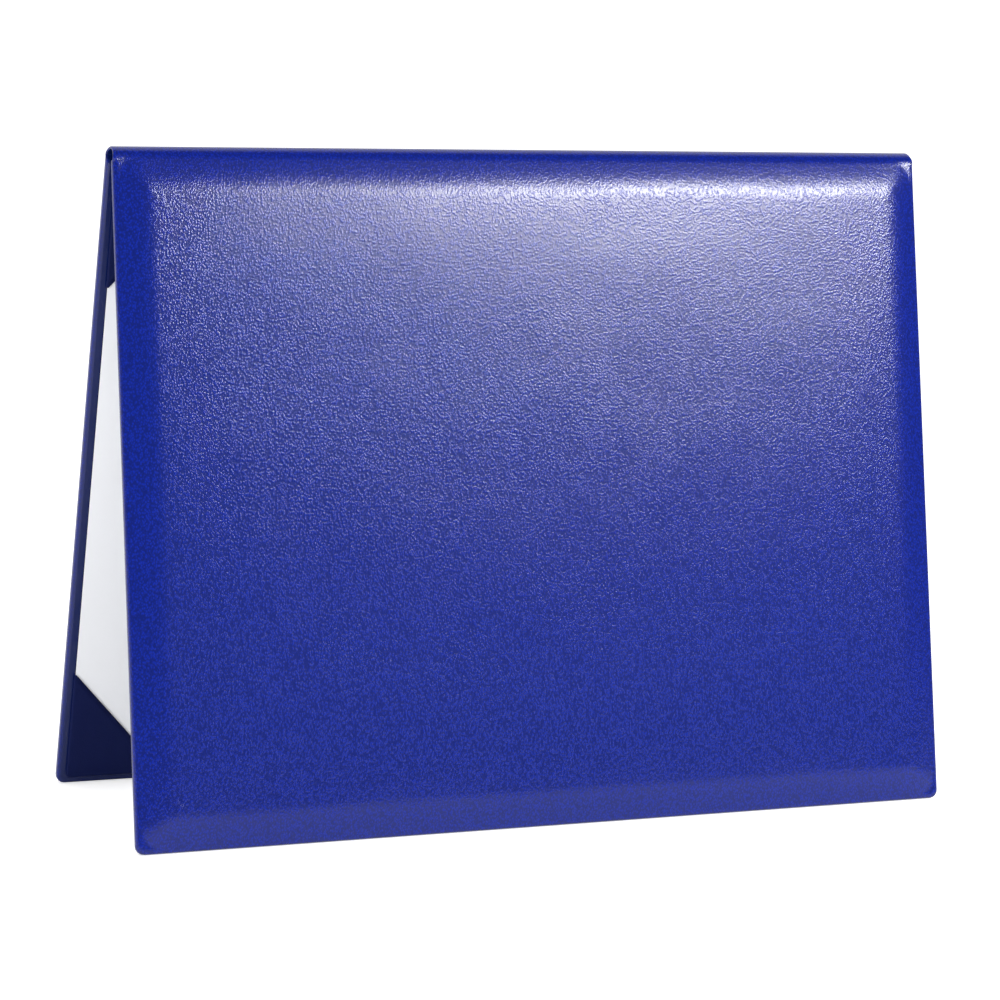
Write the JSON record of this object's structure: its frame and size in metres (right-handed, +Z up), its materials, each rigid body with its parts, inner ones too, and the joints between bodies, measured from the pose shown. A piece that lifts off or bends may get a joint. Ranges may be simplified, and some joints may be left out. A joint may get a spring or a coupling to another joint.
{
  "type": "diploma cover",
  "caption": "Padded certificate folder of two leatherette-wrapped boards hinged along a soft spine, with a white lining and corner pockets, standing like a tent.",
  "frame": {"origin": "centre of the standing cover's footprint, on the surface that its two bottom edges stand on", "axes": "+X along the fold, to the right as seen from the padded front; +Y from the front cover to the rear cover; +Z up"},
  "size_m": [0.2956, 0.0992, 0.2248],
  "materials": {
    "leatherette": "semi-gloss",
    "pocket_leatherette": "satin",
    "lining_card": "matte",
    "greyboard": "matte",
    "foam": "matte"
  },
  "bodies": {
    "rear_cover": {"rear_wrap": "leatherette", "rear_board": "greyboard", "rear_lining": "lining_card", "rear_hinge_flap": "leatherette", "pocket_top_left": "pocket_leatherette", "pocket_top_right": "pocket_leatherette", "pocket_bottom_left": "pocket_leatherette", "pocket_bottom_right": "pocket_leatherette"},
    "spine": {"spine_wrap": "leatherette", "spine_lining": "leatherette"},
    "front_cover": {"front_wrap": "leatherette", "front_pad": "foam", "front_board": "greyboard", "front_lining": "lining_card", "front_hinge_flap": "leatherette"}
  },
  "joints": [
    {"name": "rear_fold", "type": "hinge", "parent": "rear_cover", "child": "spine", "pos_m": [0, 0.00493, 0.222], "axis": [-1, 0, 0], "range_deg": [-11.4, 78.6]},
    {"name": "front_fold", "type": "hinge", "parent": "spine", "child": "front_cover", "pos_m": [0, -0.00437, 0.222], "axis": [-1, 0, 0], "range_deg": [-11.4, 78.6]}
  ],
  "couplings": [
    {"joint": "front_fold", "follows": "rear_fold", "ratio": 1}
  ]
}
